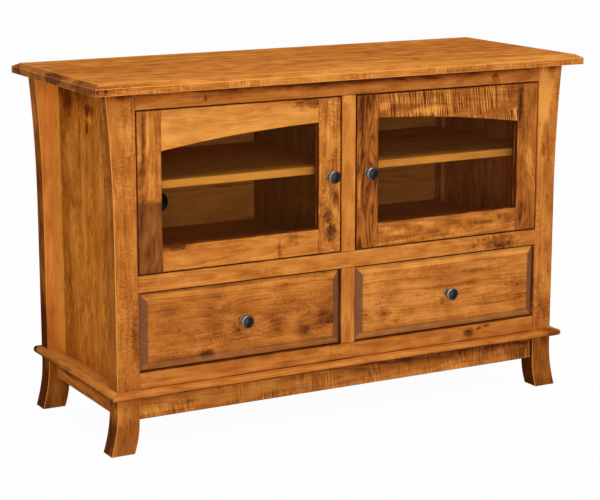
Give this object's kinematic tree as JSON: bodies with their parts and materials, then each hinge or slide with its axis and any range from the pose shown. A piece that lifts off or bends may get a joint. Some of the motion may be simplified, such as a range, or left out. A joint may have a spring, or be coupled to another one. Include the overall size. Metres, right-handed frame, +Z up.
{
  "type": "tv armoire",
  "caption": "Maple media cabinet with arched glass doors over inset drawers, an overhanging bevelled top and a moulded base on flared feet.",
  "frame": {"origin": "on the floor, under the middle of the top board", "axes": "+Z up, the doors and drawers face -Y, +X to the right of someone facing the cabinet's front from -Y"},
  "size_m": [1.27, 0.502, 0.83],
  "materials": {
    "top_maple": "rustic maple, golden brown stain, satin lacquer",
    "case_maple": "rustic maple, golden brown stain, satin lacquer",
    "door_maple": "rustic maple, golden brown stain, satin lacquer",
    "base_maple": "rustic maple, golden brown stain, satin lacquer",
    "inner_maple": "maple, golden brown stain, satin lacquer",
    "drawer_wood": "clear lacquered maple",
    "plywood": "stained plywood",
    "glass": "clear float glass",
    "gunmetal": "dark gunmetal, satin",
    "nickel": "nickel plated pressed steel"
  },
  "bodies": {
    "cabinet": {"top_board": "top_maple", "post_front_left": "case_maple", "post_front_right": "case_maple", "post_rear_left": "case_maple", "post_rear_right": "case_maple", "side_panel_left": "case_maple", "side_panel_right": "case_maple", "top_rail": "case_maple", "middle_rail": "case_maple", "bottom_rail": "case_maple", "upper_centre_stile": "case_maple", "lower_centre_stile": "case_maple", "base_moulding_front": "base_maple", "base_moulding_left": "base_maple", "base_moulding_right": "base_maple", "skirt_front": "base_maple", "skirt_left": "base_maple", "skirt_right": "base_maple", "skirt_rear": "base_maple", "foot_front_left": "base_maple", "foot_front_right": "base_maple", "foot_rear_left": "base_maple", "foot_rear_right": "base_maple", "deck_board": "inner_maple", "centre_partition": "inner_maple", "shelf_left": "inner_maple", "shelf_right": "inner_maple", "back_panel": "plywood", "drawer_runner_left_outer": "drawer_wood", "drawer_runner_left_inner": "drawer_wood", "drawer_runner_right_outer": "drawer_wood", "drawer_runner_right_inner": "drawer_wood", "hinge_left_lower": "nickel", "hinge_left_upper": "nickel", "hinge_right_lower": "nickel", "hinge_right_upper": "nickel"},
    "door_left": {"door_left_hinge_stile": "door_maple", "door_left_pull_stile": "door_maple", "door_left_top_rail": "door_maple", "door_left_bottom_rail": "door_maple", "door_left_glass": "glass", "door_left_knob": "gunmetal"},
    "door_right": {"door_right_hinge_stile": "door_maple", "door_right_pull_stile": "door_maple", "door_right_top_rail": "door_maple", "door_right_bottom_rail": "door_maple", "door_right_glass": "glass", "door_right_knob": "gunmetal"},
    "drawer_left": {"drawer_left_front": "door_maple", "drawer_left_outer_side": "drawer_wood", "drawer_left_inner_side": "drawer_wood", "drawer_left_back": "drawer_wood", "drawer_left_bottom": "plywood", "drawer_left_knob": "gunmetal"},
    "drawer_right": {"drawer_right_front": "door_maple", "drawer_right_outer_side": "drawer_wood", "drawer_right_inner_side": "drawer_wood", "drawer_right_back": "drawer_wood", "drawer_right_bottom": "plywood", "drawer_right_knob": "gunmetal"}
  },
  "joints": [
    {"name": "door_left_hinge", "type": "hinge", "parent": "cabinet", "child": "door_left", "pos_m": [-0.528, -0.215, 0.5855], "axis": [0, 0, -1], "range_deg": [0, 105]},
    {"name": "door_right_hinge", "type": "hinge", "parent": "cabinet", "child": "door_right", "pos_m": [0.528, -0.215, 0.5855], "axis": [0, 0, 1], "range_deg": [0, 105]},
    {"name": "drawer_left_slide", "type": "slide", "parent": "cabinet", "child": "drawer_left", "axis": [0, -1, 0], "range_m": [0, 0.3]},
    {"name": "drawer_right_slide", "type": "slide", "parent": "cabinet", "child": "drawer_right", "axis": [0, -1, 0], "range_m": [0, 0.3]}
  ]
}
